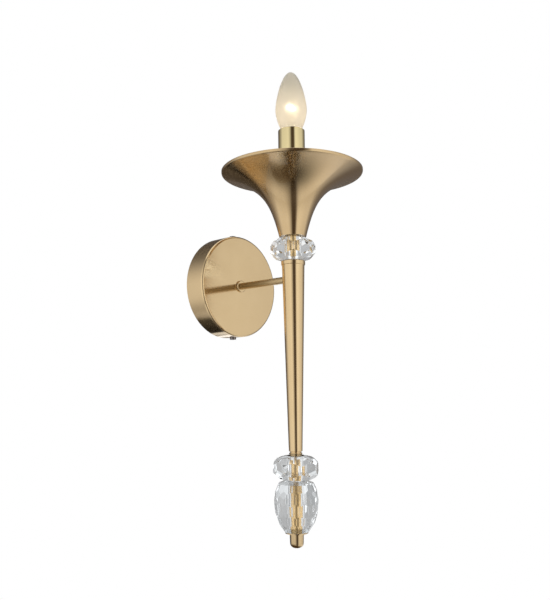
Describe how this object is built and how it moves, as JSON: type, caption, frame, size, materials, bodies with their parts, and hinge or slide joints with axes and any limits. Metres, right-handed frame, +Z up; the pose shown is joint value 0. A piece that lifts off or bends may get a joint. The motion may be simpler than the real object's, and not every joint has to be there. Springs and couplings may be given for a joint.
{
  "type": "wall sconce",
  "caption": "Wall sconce with a round canopy, straight arm, tapered brass column, cut crystal beads, trumpet bell and a frosted candle lamp that screws out.",
  "frame": {"origin": "on the wall plane at the centre of the canopy and of the strap's two wall slots", "axes": "+Z up along the column, +Y into the wall, so the light stands out towards -Y; +X to the right facing the wall"},
  "size_m": [0.158, 0.189, 0.5238],
  "materials": {
    "satin_brass": "satin brass, clear lacquered",
    "polished_brass": "polished brass",
    "crystal": "clear cut crystal, polished flats",
    "frosted_glass": "inside-frosted lamp glass",
    "lamp_glass": "clear lamp glass",
    "black_glass": "black cap insulation",
    "zinc_steel": "zinc-plated steel",
    "turned_brass": "plain turned brass",
    "nickel": "nickel plate",
    "solder": "solder",
    "tungsten": "drawn tungsten",
    "holder_plastic": "black thermoset",
    "block_plastic": "natural nylon",
    "clear_gasket": "clear soft PVC",
    "live_pvc": "brown insulation",
    "neutral_pvc": "blue insulation",
    "earth_pvc": "green-yellow insulation"
  },
  "bodies": {
    "fixture": {"canopy": "satin_brass", "canopy_screws": "turned_brass", "wall_bracket": "zinc_steel", "arm_tube": "satin_brass", "arm_rosette": "satin_brass", "arm_nut": "zinc_steel", "arm_lock_washer": "zinc_steel", "column_tube": "satin_brass", "joint_block": "turned_brass", "column_top_collar": "satin_brass", "lower_collar": "satin_brass", "upper_rod": "zinc_steel", "lower_rod": "zinc_steel", "rod_nuts": "zinc_steel", "upper_core_tube": "polished_brass", "lower_core_tube": "polished_brass", "bead_gaskets": "clear_gasket", "upper_bead": "crystal", "lower_bead": "crystal", "barrel_crystal": "crystal", "finial_washer": "satin_brass", "finial": "satin_brass", "bell": "satin_brass", "sleeve_seat": "satin_brass", "candle_sleeve": "polished_brass", "lampholder_base": "zinc_steel", "lampholder_body": "holder_plastic", "socket_shell": "turned_brass", "centre_contact": "turned_brass", "lampholder_terminals": "turned_brass", "terminal_block": "block_plastic", "terminal_tubes": "turned_brass", "terminal_screws": "zinc_steel", "live_wire": "live_pvc", "neutral_wire": "neutral_pvc", "earth_wire": "earth_pvc", "earth_tag": "turned_brass", "earth_screw": "turned_brass"},
    "lamp_tip": {"bulb_contact": "solder"},
    "lamp": {"bulb_glass": "frosted_glass", "bulb_cap": "nickel", "bulb_insulator": "black_glass", "bulb_stem": "lamp_glass", "bulb_leads": "nickel", "bulb_filament": "tungsten"}
  },
  "joints": [
    {"name": "bulb_lift", "type": "slide", "parent": "fixture", "child": "lamp_tip", "axis": [0, 0, 1], "range_m": [0, 0.0113]},
    {"name": "bulb_turn", "type": "hinge", "parent": "lamp_tip", "child": "lamp", "pos_m": [0, -0.11, 0.139], "axis": [0, 0, 1], "range_deg": [0, 1440]}
  ],
  "couplings": [
    {"joint": "bulb_lift", "follows": "bulb_turn", "m_per_rad": 0.00044917}
  ]
}
